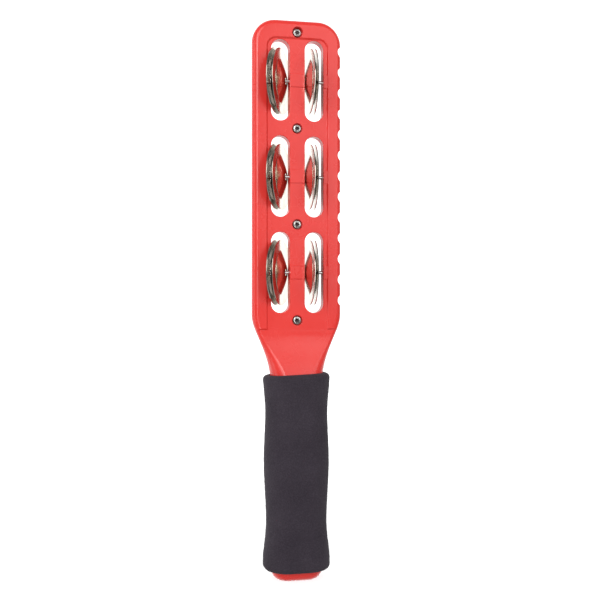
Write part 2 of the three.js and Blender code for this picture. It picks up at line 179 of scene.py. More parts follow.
floor_edge = [(FLOOR_RADIUS * math.cos(a), FLOOR_RADIUS * math.sin(a), 0) for a in round_angles(64)]
floor_mesh = bpy.data.meshes.new("floor")
floor_mesh.from_pydata(floor_edge, [], [list(range(len(floor_edge)))])
floor = bpy.data.objects.new("floor", floor_mesh)
scene.collection.objects.link(floor)
floor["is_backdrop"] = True

paper = bpy.data.materials.new("floor paper")
paper.use_nodes = True
paper_tree = paper.node_tree
paper_tree.nodes.clear()
paper_place = node(paper_tree, "ShaderNodeTexCoord")
paper_reach = node(paper_tree, "ShaderNodeVectorMath", operation="LENGTH")
paper_white = node(paper_tree, "ShaderNodeBsdfDiffuse")
paper_white.inputs["Color"].default_value = (0.97, 0.97, 0.97, 1)
paper_clear = node(paper_tree, "ShaderNodeBsdfTransparent")
paper_mix = node(paper_tree, "ShaderNodeMixShader")
paper_out = node(paper_tree, "ShaderNodeOutputMaterial")
paper_fade = ranged(
    paper_tree, paper_reach.outputs["Value"], FLOOR_CLEAR, 1, FLOOR_FADE_START, FLOOR_RADIUS, smooth=True
)
linked(
    paper_tree,
    [
        (paper_place.outputs["Object"], paper_reach.inputs[0]),
        (paper_fade, paper_mix.inputs["Fac"]),
        (paper_white.outputs[0], paper_mix.inputs[1]),
        (paper_clear.outputs[0], paper_mix.inputs[2]),
        (paper_mix.outputs[0], paper_out.inputs["Surface"]),
    ],
)
floor.data.materials.append(paper)

# ---- The two moulded halves ----
# The head, neck and handle are injection moulded in glossy red plastic as a front and a back half,
# which meet on a fine parting line. The slots, the recessed panel, the raised pads over the pins,
# the screw recesses and the scraper notches are all formed in the mould. Sizes are in millimetres.

MM = 0.001
HEAD_HALF = 30.75
HEAD_TOP = 380
HEAD_FOOT = 180
HEAD_CORNER = 16
RIM_FACE = 4.7
PANEL_FACE = 3.7
EDGE_ROUND = 4
RIM_END = 169
RIM_END_SLOPE = 1.1
RIM_END_EASE = 0.4
NECK_FOOT = 132
NECK_THINNING = 34
NECK_FLARE = 1.2
NECK_IN_HEAD = 3
NECK_TUCK = 0.3
SHOULDER_DROP = 12
CORE_HALF = 17.3
CORE_DEPTH = 12
CORE_CORNER = 11
BUTT_ROUND = 7
PARTING = 0.15
PARTING_ROUND = 0.3
PARTING_BEVEL = 0.09
PANEL_HALF_WIDTH = 20.6
PANEL_TOP = 367.1
PANEL_CORNER = 6
PANEL_OVERRUN = 5
PAD_PAST_PANEL = 0.9
PAD_HALF_HEIGHT = 4.5
PAD_CORNER = 0.9
SLOT_CENTRE = 11.65
SLOT_RADIUS = 6.4
SLOT_REACH = 21.05
SLOT_LIP = 0.4
ROW_TOP = 338.9
ROW_PITCH = 65.2
ROWS = 3
PIN_RADIUS = 1.2
PIN_REACH = 25.65
PIN_ROOM = 0.3
SCREWS = ROWS + 1
SCREW_TOP = 371.5
SHANK_HOLE = 1.7
NOTCHES = 13
NOTCH_TOP = 359.9
NOTCH_PITCH = 14.192
NOTCH_DEPTH = 2.6
NOTCH_RADIUS = 3.933
NOTCH_REACH = 12
CUT_BEHIND = 2
CUT_PAST = 5
RED = (0.81, 0.037, 0.030, 1)
RED_LIGHT = (0.86, 0.048, 0.039, 1)

# The step from the panel up to the rims, and a pad's rounded edge: [up from the panel's face, outwards].
PANEL_STEP = [
    (0, -0.4),
    (0.04, -0.2),
    (0.14, -0.04),
    (0.3, 0.12),
    (0.82, 0.66),
    (0.93, 0.84),
    (1, 1.1),
    (6, 1.1),
]
PAD_EDGE = [(-2, 0), (0.32, 0), (0.46, -0.04), (0.56, -0.14), (0.6, -0.32)]

# The screw's recess in each half: [radius, depth from the stick's middle].
FRONT_RECESS = [
    (0, -9),
    (3.8, -9),
    (3.8, -3.7),
    (3.6, -3.6),
    (3.5, -3.4),
    (3.5, -1.5),
    (SHANK_HOLE, -1.5),
    (SHANK_HOLE, 1),
    (0, 1),
]
BACK_RECESS = [(0, -1), (SHANK_HOLE, -1), (SHANK_HOLE, 2.7), (0, 2.7)]


def mesh_object(name, points, faces):
    """An object made of points in millimetres, with doubles merged and its faces turned outwards."""
    mesh = bpy.data.meshes.new(name)
    mesh.from_pydata([(x * MM, y * MM, z * MM) for x, y, z in points], [], faces)
    shape = bmesh.new()
    shape.from_mesh(mesh)
    bmesh.ops.remove_doubles(shape, verts=shape.verts, dist=1e-6)
    bmesh.ops.recalc_face_normals(shape, faces=shape.faces)
    shape.to_mesh(mesh)
    shape.free()
    made = bpy.data.objects.new(name, mesh)
    scene.collection.objects.link(made)
    return made


def skin(name, rings, closed=False, looped=True):
    """A skin over rings of points. Open ends are capped. A ring that isn't looped ends on an axis."""
    count = len(rings[0])
    points = [p for ring in rings for p in ring]
    faces = []
    for k in range(len(rings) if closed else len(rings) - 1):
        low = k * count
        high = (k + 1) % len(rings) * count
        for i in range(count if looped else count - 1):
            j = (i + 1) % count
            faces.append((low + i, low + j, high + j, high + i))
    if not closed:
        faces.append(tuple(range(count)))
        faces.append(tuple(range(len(points) - count, len(points))))
    return mesh_object(name, points, faces)


def plain(thing):
    """The object with its modifiers made part of its mesh."""
    made = bpy.data.meshes.new_from_object(thing.evaluated_get(bpy.context.evaluated_depsgraph_get()))
    thing.modifiers.clear()
    thing.data = made
    return thing


def carve(thing, tools, operation="DIFFERENCE"):
    """The object with each tool cut from it or joined to it. The tools are used up."""
    for tool in tools:
        step = thing.modifiers.new("cut", "BOOLEAN")
        step.operation = operation
        step.solver = "MANIFOLD"
        step.object = tool
    plain(thing)
    for tool in tools:
        bpy.data.objects.remove(tool)
    return thing


def arc(cx, cz, radius, start, end, steps):
    """Points round an arc, its angles in degrees."""
    angles = np.radians(np.linspace(start, end, steps + 1))
    return [(cx + radius * math.cos(a), cz + radius * math.sin(a)) for a in angles]


def quarter_round(radius, steps):
    """A rounded edge, from its side up to its face: [below the face, in from the side]."""
    angles = np.linspace(0, math.pi / 2, steps + 1)
    return [(radius * (1 - math.sin(a)), radius * (1 - math.cos(a))) for a in angles]


def mirrored(right):
    """A line of points and its mirror image, as one outline."""
    return right + [(-x, z) for x, z in reversed(right)]


# The stick's side between the head and the handle is one bend with four guide points.
side_guides = [
    (HEAD_HALF, HEAD_FOOT),
    (HEAD_HALF, HEAD_FOOT - SHOULDER_DROP),
    (CORE_HALF + NECK_FLARE, HEAD_FOOT - 2 * SHOULDER_DROP),
    (CORE_HALF, NECK_FOOT),
]
side_ts = np.linspace(0, 1, 200)[:, None]
side_shares = [
    (1 - side_ts) ** 3,
    3 * (1 - side_ts) ** 2 * side_ts,
    3 * (1 - side_ts) * side_ts**2,
    side_ts**3,
]
side_curve = sum(share * np.array(guide) for share, guide in zip(side_shares, side_guides))


def half_width(z):
    """Half the stick's width at a height below the slots."""
    if z >= HEAD_FOOT:
        return HEAD_HALF
    return float(np.interp(z, side_curve[::-1, 1], side_curve[::-1, 0]))


def head_ring(y, inset):
    """The head's outline at a depth, drawn in all round. Past the panel's depth its end slopes up."""
    end = RIM_END + RIM_END_SLOPE * max(0, abs(y) - PANEL_FACE + RIM_END_EASE)
    side = [(half_width(z) - inset, z) for z in np.linspace(end, HEAD_FOOT, 9)]
    crown = arc(HEAD_HALF - HEAD_CORNER, HEAD_TOP - HEAD_CORNER, HEAD_CORNER - inset, 0, 90, 18)
    return [(x, y, z) for x, z in mirrored(side + crown)]


def core_section(z, grow):
    """Half the handle's depth and its corner radius at a height, grown by a margin."""
    rise = float(np.clip((z - NECK_FOOT) / NECK_THINNING, 0, 1))
    rise = rise * rise * (3 - 2 * rise)
    depth = CORE_DEPTH + (PANEL_FACE - CORE_DEPTH) * rise + grow
    corner = CORE_CORNER + (EDGE_ROUND - CORE_CORNER) * rise + grow
    return depth, corner


def core_ring(side, z, grow=0.0):
    """Half of the handle's section at a height, from the parting line round one face and back."""
    half_x = half_width(z) + grow
    half_y, corner = core_section(z, grow)
    corner = min(corner, half_y - PARTING - PARTING_ROUND)
    edge = [
        (half_x - PARTING_ROUND, PARTING),
        (half_x - PARTING_BEVEL, PARTING + PARTING_BEVEL),
        (half_x, PARTING + PARTING_ROUND),
    ]
    quarter = edge + arc(half_x - corner, half_y - corner, corner, 0, 90, 10)
    return [(x, side * y, z) for x, y in mirrored(quarter)]


def face_rings(side, levels, outline):
    """Rings of an outline at depths out from the middle, each grown by a margin."""
    return [[(x, side * depth, z) for x, z in outline(grow)] for depth, grow in levels]


def panel_outline(grow):
    """The recessed panel's outline, which runs off the lower end of the rims."""
    half = PANEL_HALF_WIDTH + grow
    top = PANEL_TOP + grow
    corner = PANEL_CORNER + grow
    return mirrored([(half, RIM_END - PANEL_OVERRUN)] + arc(half - corner, top - corner, corner, 0, 90, 12))


def slot_outline(grow):
    """A slot's outline about its middle."""
    radius = SLOT_RADIUS + grow
    return arc(0, SLOT_REACH, radius, 0, 180, 24) + arc(0, -SLOT_REACH, radius, 180, 360, 24)


def pad_outline(grow):
    """A pin pad's outline about its middle."""
    half = PANEL_HALF_WIDTH + PAD_PAST_PANEL + grow
    tall = PAD_HALF_HEIGHT + grow
    corner = PAD_CORNER + grow
    lower = arc(half - corner, corner - tall, corner, -90, 0, 4)
    upper = arc(half - corner, tall - corner, corner, 0, 90, 4)
    return mirrored(lower + upper)


def turned(name, profile, steps, axis="y"):
    """A solid turned about an axis from [radius, place along it] points."""
    rings = []
    for a in round_angles(steps):
        ring = [(r * math.cos(a), h, r * math.sin(a)) for r, h in profile]
        rings.append(ring if axis == "y" else [(h, x, z) for x, h, z in ring])
    return skin(name, rings, closed=True, looped=profile[0][0] > 0)


def rod_line(radius, reach):
    """The profile of a plain rod that reaches as far to both sides."""
    return [(0, -reach), (radius, -reach), (radius, reach), (0, reach)]


def tree_of(name, inputs):
    """An empty node tree for a modifier, with named inputs, and its two end nodes."""
    tree = bpy.data.node_groups.new(name, "GeometryNodeTree")
    for title, kind in inputs.items():
        tree.interface.new_socket(title, in_out="INPUT", socket_type=kind)
    tree.interface.new_socket("Geometry", in_out="OUTPUT", socket_type="NodeSocketGeometry")
    return tree, node(tree, "NodeGroupInput"), node(tree, "NodeGroupOutput")


def grown(name, tree, values):
    """A new object whose mesh the node tree makes from the values."""
    made = bpy.data.objects.new(name, bpy.data.meshes.new(name))
    scene.collection.objects.link(made)
    step = made.modifiers.new("grow", "NODES")
    step.node_group = tree
    for socket in tree.interface.items_tree:
        if socket.in_out == "INPUT":
            step[socket.identifier] = values[socket.name]
    return plain(made)


# One piece repeated down the stick at an even spacing, as one mesh.
row_tree, row_in, row_out = tree_of(
    "row down the stick",
    {
        "Piece": "NodeSocketObject",
        "Count": "NodeSocketInt",
        "First": "NodeSocketVector",
        "Spacing": "NodeSocketFloat",
        "Finish": "NodeSocketMaterial",
    },
)
row_piece = node(row_tree, "GeometryNodeObjectInfo")
row_step = node(row_tree, "ShaderNodeCombineXYZ")
row_down = node(row_tree, "ShaderNodeMath", operation="MULTIPLY")
row_down.inputs[1].default_value = -1
row_line = node(row_tree, "GeometryNodeMeshLine", mode="OFFSET")
row_copies = node(row_tree, "GeometryNodeInstanceOnPoints")
row_real = node(row_tree, "GeometryNodeRealizeInstances")
row_finish = node(row_tree, "GeometryNodeSetMaterial")
linked(
    row_tree,
    [
        (row_in.outputs["Piece"], row_piece.inputs["Object"]),
        (row_in.outputs["Spacing"], row_down.inputs[0]),
        (row_down.outputs[0], row_step.inputs["Z"]),
        (row_in.outputs["Count"], row_line.inputs["Count"]),
        (row_in.outputs["First"], row_line.inputs["Start Location"]),
        (row_step.outputs[0], row_line.inputs["Offset"]),
        (row_line.outputs["Mesh"], row_copies.inputs["Points"]),
        (row_piece.outputs["Geometry"], row_copies.inputs["Instance"]),
        (row_copies.outputs[0], row_real.inputs[0]),
        (row_real.outputs[0], row_finish.inputs["Geometry"]),
        (row_in.outputs["Finish"], row_finish.inputs["Material"]),
        (row_finish.outputs[0], row_out.inputs[0]),
    ],
)


def row_of(name, piece, count, x, top, spacing, finish):
    """Copies of a piece down the stick, whose first is at x and top. The piece is used up."""
    made = grown(
        name,
        row_tree,
        {
            "Piece": piece,
            "Count": count,
            "First": (x * MM, 0, top * MM),
            "Spacing": spacing * MM,
            "Finish": finish,
        },
    )
    bpy.data.objects.remove(piece)
    return made


def shader_group(name, inputs, outputs):
    """An empty shader node group with named inputs and outputs, and its two end nodes."""
    tree = bpy.data.node_groups.new(name, "ShaderNodeTree")
    for title, kind in inputs.items():
        tree.interface.new_socket(title, in_out="INPUT", socket_type=kind)
    for title, kind in outputs.items():
        tree.interface.new_socket(title, in_out="OUTPUT", socket_type=kind)
    return tree, node(tree, "NodeGroupInput"), node(tree, "NodeGroupOutput")


def noise_on(tree, place, scale, detail=2, roughness=0.5):
    """A noise texture over a place."""
    made = node(tree, "ShaderNodeTexNoise")
    made.inputs["Detail"].default_value = detail
    made.inputs["Roughness"].default_value = roughness
    feed(tree, made.inputs["Scale"], scale)
    tree.links.new(place, made.inputs["Vector"])
    return made


# Handling marks: cloudy smears where fingers have been, and fine hairline scuffs.
SCUFF_BEND = 0.004

marks, marks_in, marks_out = shader_group(
    "handling marks",
    {
        "Place": "NodeSocketVector",
        "Smear Scale": "NodeSocketFloat",
        "Scuff Scale": "NodeSocketFloat",
        "Scuff Width": "NodeSocketFloat",
    },
    {"Smears": "NodeSocketFloat", "Scuffs": "NodeSocketFloat"},
)
smear = noise_on(marks, marks_in.outputs["Place"], marks_in.outputs["Smear Scale"], 4, 0.6)
smears = ranged(marks, smear.outputs["Fac"], 0, 1, 0.38, 0.66, smooth=True)
scuff_bend = noise_on(marks, marks_in.outputs["Place"], marks_in.outputs["Smear Scale"], 1)
scuff_place = node(marks, "ShaderNodeVectorMath", operation="MULTIPLY_ADD")
scuff_place.inputs[1].default_value = (SCUFF_BEND, SCUFF_BEND, SCUFF_BEND)
scuff = node(marks, "ShaderNodeTexVoronoi", feature="DISTANCE_TO_EDGE")
scuff_line = ranged(marks, scuff.outputs["Distance"], 1, 0, 0, marks_in.outputs["Scuff Width"])
scuff_rare = node(marks, "ShaderNodeMath", operation="MULTIPLY")
linked(
    marks,
    [
        (smears, marks_out.inputs["Smears"]),
        (scuff_bend.outputs["Color"], scuff_place.inputs[0]),
        (marks_in.outputs["Place"], scuff_place.inputs[2]),
        (scuff_place.outputs["Vector"], scuff.inputs["Vector"]),
        (marks_in.outputs["Scuff Scale"], scuff.inputs["Scale"]),
        (scuff_line, scuff_rare.inputs[0]),
        (smears, scuff_rare.inputs[1]),
        (scuff_rare.outputs[0], marks_out.inputs["Scuffs"]),
    ],
)


def finish_of(name, metallic=0.0, ior=1.5):
    """A new material with a Principled shader, and its tree, shader and place nodes."""
    made = bpy.data.materials.new(name)
    made.use_nodes = True
    tree = made.node_tree
    tree.nodes.clear()
    shader = node(tree, "ShaderNodeBsdfPrincipled")
    shader.inputs["Metallic"].default_value = metallic
    shader.inputs["IOR"].default_value = ior
    out = node(tree, "ShaderNodeOutputMaterial")
    tree.links.new(shader.outputs[0], out.inputs["Surface"])
    return made, tree, shader, node(tree, "ShaderNodeTexCoord")


def marks_on(tree, place, smear_scale, scuff_scale, scuff_width):
    """The handling marks group, placed in a material."""
    made = node(tree, "ShaderNodeGroup", node_tree=marks)
    tree.links.new(place, made.inputs["Place"])
    made.inputs["Smear Scale"].default_value = smear_scale
    made.inputs["Scuff Scale"].default_value = scuff_scale
    made.inputs["Scuff Width"].default_value = scuff_width
    return made


def blended(tree, share, first, second):
    """Two colours blended by a share. Either may be a colour or a node's output."""
    made = node(tree, "ShaderNodeMix", data_type="RGBA")
    for socket, colour in zip([s for s in made.inputs if s.type == "RGBA"], (first, second)):
        feed(tree, socket, colour)
    tree.links.new(share, made.inputs[0])
    return next(s for s in made.outputs if s.type == "RGBA")


def scuffed(tree, roughness, scuffs, amount):
    """A roughness with some of the scuffs added."""
    made = node(tree, "ShaderNodeMath", operation="MULTIPLY_ADD")
    made.inputs[1].default_value = amount
    linked(tree, [(scuffs, made.inputs[0]), (roughness, made.inputs[2])])
    return made.outputs[0]


def bumped(tree, shader, height, strength, distance):
    """Fine relief on a shader, from a height."""
    made = node(tree, "ShaderNodeBump")
    made.inputs["Strength"].default_value = strength
    made.inputs["Distance"].default_value = distance
    linked(tree, [(height, made.inputs["Height"]), (made.outputs["Normal"], shader.inputs["Normal"])])


red_plastic, red_tree, red_shader, red_place = finish_of("red moulded plastic")
red_marks = marks_on(
    red_tree, red_place.outputs["Object"], smear_scale=38, scuff_scale=110, scuff_width=0.012
)
red_cloud = noise_on(red_tree, red_place.outputs["Object"], 22)
red_share = ranged(red_tree, red_cloud.outputs["Fac"], 0, 1, 0.35, 0.65)
red_smeared = ranged(red_tree, red_marks.outputs["Smears"], 0.2, 0.3)
linked(
    red_tree,
    [
        (scuffed(red_tree, red_smeared, red_marks.outputs["Scuffs"], 0.15), red_shader.inputs["Roughness"]),
        (blended(red_tree, red_share, RED, RED_LIGHT), red_shader.inputs["Base Color"]),
    ],
)
red_peel = noise_on(red_tree, red_place.outputs["Object"], 420)
bumped(red_tree, red_shader, red_peel.outputs["Fac"], strength=0.12, distance=0.0002)


def smoothed(thing, angle=32):
    """Smooth shading between faces that meet at less than an angle, led by the larger faces."""
    mesh = thing.data
    shape = bmesh.new()
    shape.from_mesh(mesh)
    bmesh.ops.remove_doubles(shape, verts=shape.verts, dist=2e-6)
    bmesh.ops.dissolve_degenerate(shape, edges=shape.edges, dist=1e-6)
    shape.to_mesh(mesh)
    shape.free()
    for face in mesh.polygons:
        face.use_smooth = True
    mesh.set_sharp_from_angle(angle=math.radians(angle))
    weigh = thing.modifiers.new("even normals", "WEIGHTED_NORMAL")
    weigh.keep_sharp = True
    return plain(thing)


def slot_cutter(side):
    """The space of one slot in a half, with a rounded lip at the face."""
    lip = [(PANEL_FACE - below, out) for below, out in quarter_round(SLOT_LIP, 6)]
    levels = [(-CUT_BEHIND, 0), *lip, (RIM_FACE + CUT_PAST, SLOT_LIP)]
    return skin("slot", face_rings(side, levels, slot_outline))


def half_shell(name, side):
    """One moulded half. Side is -1 for the front half and 1 for the back half."""
    parting = [(PARTING, PARTING_ROUND), (PARTING + PARTING_BEVEL, PARTING_BEVEL)]
    rounding = [(RIM_FACE - below, inset) for below, inset in quarter_round(EDGE_ROUND, 10)]
    head = skin(name, [head_ring(side * depth, inset) for depth, inset in [*parting, *rounding]])
    step = [(PANEL_FACE + up, grow) for up, grow in PANEL_STEP]
    carve(head, [skin("panel", face_rings(side, step, panel_outline))])

    butt = [core_ring(side, up, -drawn_in) for drawn_in, up in quarter_round(BUTT_ROUND, 10)]
    neck = [core_ring(side, z) for z in np.linspace(NECK_FOOT, RIM_END, 25)]
    handle = skin("handle", [*butt, *neck, core_ring(side, RIM_END + NECK_IN_HEAD, -NECK_TUCK)])
    pad_levels = [(PANEL_FACE + up, grow) for up, grow in PAD_EDGE]
    pad = skin("pad", face_rings(side, pad_levels, pad_outline))
    pads = row_of("pads", pad, ROWS, 0, ROW_TOP, ROW_PITCH, red_plastic)
    carve(head, [handle, pads], "UNION")

    notch = turned("notch", rod_line(NOTCH_RADIUS, NOTCH_REACH), 64)
    notch_x = HEAD_HALF + NOTCH_RADIUS - NOTCH_DEPTH
    notches = row_of("notches", notch, NOTCHES, notch_x, NOTCH_TOP, NOTCH_PITCH, red_plastic)
    pin_bore = turned("pin bore", rod_line(PIN_RADIUS + PIN_ROOM, PIN_REACH + PIN_ROOM), 24, "x")
    pin_bores = row_of("pin bores", pin_bore, ROWS, 0, ROW_TOP, ROW_PITCH, red_plastic)
    slots = [
        row_of("slots", slot_cutter(side), ROWS, x, ROW_TOP, ROW_PITCH, red_plastic)
        for x in (-SLOT_CENTRE, SLOT_CENTRE)
    ]
    recess = turned("recess", FRONT_RECESS if side < 0 else BACK_RECESS, 40)
    recesses = row_of("recesses", recess, SCREWS, 0, SCREW_TOP, ROW_PITCH, red_plastic)
    carve(head, [notches, pin_bores, *slots, recesses])

    head.data.materials.clear()
    head.data.materials.append(red_plastic)
    head.data.polygons.foreach_set("material_index", [0] * len(head.data.polygons))
    smoothed(head)
    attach(head, "stick")
    return head


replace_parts(half_shell("front_half", -1), "front_shell")
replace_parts(half_shell("back_half", 1), "back_shell")

# ---- Cross pins ----
# Three straight bright steel wires, pressed into seats in the two rails and run through the rib.
# Each carries two jingles on either side.

PIN_EASE = 0.3
STEEL = (0.72, 0.71, 0.69, 1)
STEEL_SMEARED = (0.56, 0.54, 0.51, 1)

steel_finish, steel_tree, steel_shader, steel_place = finish_of("drawn steel", metallic=1.0)
steel_marks = marks_on(
    steel_tree, steel_place.outputs["Object"], smear_scale=180, scuff_scale=500, scuff_width=0.03
)
steel_smears = steel_marks.outputs["Smears"]
draw_stretch = node(steel_tree, "ShaderNodeMapping")
draw_stretch.inputs["Scale"].default_value = (0.04, 1, 1)
linked(
    steel_tree,
    [
        (steel_place.outputs["Object"], draw_stretch.inputs["Vector"]),
        (ranged(steel_tree, steel_smears, 0.16, 0.3), steel_shader.inputs["Roughness"]),
        (blended(steel_tree, steel_smears, STEEL, STEEL_SMEARED), steel_shader.inputs["Base Color"]),
    ],
)
draw_lines = noise_on(steel_tree, draw_stretch.outputs["Vector"], 2600)
bumped(steel_tree, steel_shader, draw_lines.outputs["Fac"], strength=0.15, distance=0.00003)

wire_end = [(0, PIN_REACH), (PIN_RADIUS - PIN_EASE, PIN_REACH), (PIN_RADIUS, PIN_REACH - PIN_EASE)]
wire = [(r, -x) for r, x in wire_end] + wire_end[::-1]
pins = row_of("cross_pins", turned("pin", wire, 40, "x"), ROWS, 0, ROW_TOP, ROW_PITCH, steel_finish)
smoothed(pins)
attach(pins, "stick")
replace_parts(pins, "cross_pin_top", "cross_pin_middle", "cross_pin_bottom")

# ---- Jingles ----
# Twelve loose discs pressed from thin nickel-plated steel, with a flat flange, a shallow coned dome
# and a hole that runs on the pin. Two hang in each slot, nested with their domes towards the rib.
# The domed side is polished, and the hollow side is painted near-black as painted shade of the gap between
# the nested discs.

DISC_RADIUS = 22.5
SHEET_HALF = 0.35
DOME_HEIGHT = 3
HOLE_RADIUS = 2.4
EDGE_EASE = 0.14
NICKEL = (0.74, 0.69, 0.61, 1)
NICKEL_SMEARED = (0.64, 0.58, 0.49, 1)
# Painted shade: the hollow side's near-black colour stands in for the shade in the gap between nested discs.
HOLLOW_PAINTED_SHADE = (0.11, 0.085, 0.065, 1)
NICKEL_HUB = (0.36, 0.29, 0.17, 1)

# Half of the pressed section, from the rim in to the hole: [radius, share of the dome's height].
DOME_LINE = [
    (DISC_RADIUS, 0),
    (16.1, 0),
    (15.4, 0.045),
    (14.6, 0.15),
    (8.95, 0.62),
    (4.2, 0.945),
    (HOLE_RADIUS, 1),
]

nickel, nickel_tree, nickel_shader, _ = finish_of("plated disc", metallic=1.0)
disc_facing = node(nickel_tree, "ShaderNodeAttribute", attribute_name="disc_facing")
facing_parts = node(nickel_tree, "ShaderNodeSeparateXYZ")
disc_place = node(nickel_tree, "ShaderNodeAttribute", attribute_name="disc_place")
flat_place = node(nickel_tree, "ShaderNodeVectorMath", operation="MULTIPLY")
flat_place.inputs[1].default_value = (1, 0, 1)
disc_radius = node(nickel_tree, "ShaderNodeVectorMath", operation="LENGTH")
spin_lines = node(nickel_tree, "ShaderNodeTexNoise", noise_dimensions="1D")
spin_lines.inputs["Scale"].default_value = 2400
spin_lines.inputs["Detail"].default_value = 3
nickel_marks = marks_on(
    nickel_tree, disc_place.outputs["Vector"], smear_scale=70, scuff_scale=150, scuff_width=0.015
)
nickel_smears = nickel_marks.outputs["Smears"]
domed = blended(nickel_tree, nickel_smears, NICKEL, NICKEL_SMEARED)
# Painted shade: faces turned away from the dome take the near-black colour, standing in for shade between the
# nested discs.
hollow_shade_share = ranged(nickel_tree, facing_parts.outputs["Y"], 1, 0, -0.3, 0.3)
domed_or_painted_shade = blended(nickel_tree, hollow_shade_share, domed, HOLLOW_PAINTED_SHADE)
hub_tarnish = ranged(nickel_tree, disc_radius.outputs["Value"], 0.75, 0, 0.0032, 0.0075, smooth=True)
nickel_rough = ranged(nickel_tree, nickel_smears, 0.1, 0.2)
linked(
    nickel_tree,
    [
        (disc_facing.outputs["Vector"], facing_parts.inputs[0]),
        (disc_place.outputs["Vector"], flat_place.inputs[0]),
        (flat_place.outputs["Vector"], disc_radius.inputs[0]),
        (disc_radius.outputs["Value"], spin_lines.inputs["W"]),
        (
            scuffed(nickel_tree, nickel_rough, nickel_marks.outputs["Scuffs"], 0.12),
            nickel_shader.inputs["Roughness"],
        ),
        (blended(nickel_tree, hub_tarnish, domed_or_painted_shade, NICKEL_HUB), nickel_shader.inputs["Base Color"]),
    ],
)
bumped(nickel_tree, nickel_shader, spin_lines.outputs["Fac"], strength=0.2, distance=0.00002)


def smooth_line(points, steps):
    """A smooth line through pairs of numbers, with a number of steps between each two."""
    ends = [np.array(p, float) for p in (points[0], *points, points[-1])]
    line = []
    for a, b, c, d in zip(ends, ends[1:], ends[2:], ends[3:]):
        for t in np.linspace(0, 1, steps + 1)[:-1]:
            bend = (2 * a - 5 * b + 4 * c - d) * t**2
            twist = (3 * b - 3 * c + d - a) * t**3
            line.append(0.5 * (2 * b + (c - a) * t + bend + twist))
    return [tuple(p) for p in [*line, ends[-1]]]


# The disc's section: up the domed side, round the hole's edge, down the hollow side, round the rim.
dome = [(r, (share - 1) * DOME_HEIGHT) for r, share in smooth_line(DOME_LINE, 4)]
dome[0] = (DISC_RADIUS - EDGE_EASE, -DOME_HEIGHT)
dome[-1] = (HOLE_RADIUS + EDGE_EASE, 0)
inner_half = SHEET_HALF - EDGE_EASE
section = [(r, h + SHEET_HALF) for r, h in dome]
section += [(HOLE_RADIUS, inner_half), (HOLE_RADIUS, -inner_half)]
section += [(r, h - SHEET_HALF) for r, h in reversed(dome)]
section += [(DISC_RADIUS, -inner_half - DOME_HEIGHT), (DISC_RADIUS, inner_half - DOME_HEIGHT)]
pressed_disc = turned("pressed disc", section, 128)

# A pressed disc that keeps its own place and facing for its finish, then leans and hangs on its pin.
hang_tree, hang_in, hang_out = tree_of(
    "disc on its pin",
    {
        "Disc": "NodeSocketObject",
        "Turn": "NodeSocketFloat",
        "Hole": "NodeSocketVector",
        "Finish": "NodeSocketMaterial",
    },
)
hang_disc = node(hang_tree, "GeometryNodeObjectInfo")
hang_position = node(hang_tree, "GeometryNodeInputPosition")
hang_keep = node(hang_tree, "GeometryNodeStoreNamedAttribute", data_type="FLOAT_VECTOR", domain="POINT")
hang_keep.inputs["Name"].default_value = "disc_place"
hang_normal = node(hang_tree, "GeometryNodeInputNormal")
hang_facing = node(hang_tree, "GeometryNodeStoreNamedAttribute", data_type="FLOAT_VECTOR", domain="FACE")
hang_facing.inputs["Name"].default_value = "disc_facing"
hang_turn = node(hang_tree, "FunctionNodeAxisAngleToRotation")
hang_turn.inputs["Axis"].default_value = (0, 0, 1)
hang_move = node(hang_tree, "GeometryNodeTransform")
hang_real = node(hang_tree, "GeometryNodeRealizeInstances")
hang_finish = node(hang_tree, "GeometryNodeSetMaterial")
linked(
    hang_tree,
    [
        (hang_in.outputs["Disc"], hang_disc.inputs["Object"]),
        (hang_disc.outputs["Geometry"], hang_keep.inputs["Geometry"]),
        (hang_position.outputs["Position"], hang_keep.inputs["Value"]),
        (hang_keep.outputs["Geometry"], hang_facing.inputs["Geometry"]),
        (hang_normal.outputs["Normal"], hang_facing.inputs["Value"]),
        (hang_facing.outputs["Geometry"], hang_move.inputs["Geometry"]),
        (hang_in.outputs["Turn"], hang_turn.inputs["Angle"]),
        (hang_turn.outputs["Rotation"], hang_move.inputs["Rotation"]),
        (hang_in.outputs["Hole"], hang_move.inputs["Translation"]),
        (hang_move.outputs["Geometry"], hang_real.inputs[0]),
        (hang_real.outputs[0], hang_finish.inputs["Geometry"]),
        (hang_in.outputs["Finish"], hang_finish.inputs["Material"]),
        (hang_finish.outputs[0], hang_out.inputs[0]),
    ],
)

# Each disc of a row: [its place, its side of the rib, its lean in degrees, how far it has settled in mm].
HANGING = [
    ("left_inner", -1, 27.2, 0.36),
    ("left_outer", -1, 27.8, 0.36),
    ("right_inner", 1, -1.5, -0.079),
    ("right_outer", 1, -5, -0.261),
]
for row in ("top", "middle", "bottom"):
    for place, side, lean, settled in HANGING:
        solid = f"jingle_{row}_{place}"
        low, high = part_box(solid)
        turn = math.radians(lean)
        reach = (DOME_HEIGHT + SHEET_HALF) * math.cos(turn) + DISC_RADIUS * abs(math.sin(turn))
        furthest = (high.x if side > 0 else low.x) / MM
        disc = grown(
            f"{solid}_disc",
            hang_tree,
            {
                "Disc": pressed_disc,
                "Turn": side * (math.pi / 2 + turn),
                "Hole": ((furthest - side * reach) * MM, -settled * MM, (low.z + high.z) / 2),
                "Finish": nickel,
            },
        )
        smoothed(disc)
        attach(disc, solid)
        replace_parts(disc, solid)
bpy.data.objects.remove(pressed_disc)

# ---- Screws ----
# Four small pan-headed steel screws, driven from the front above, between and below the slots. Each
# has a six-lobed socket and sits in a round recess.

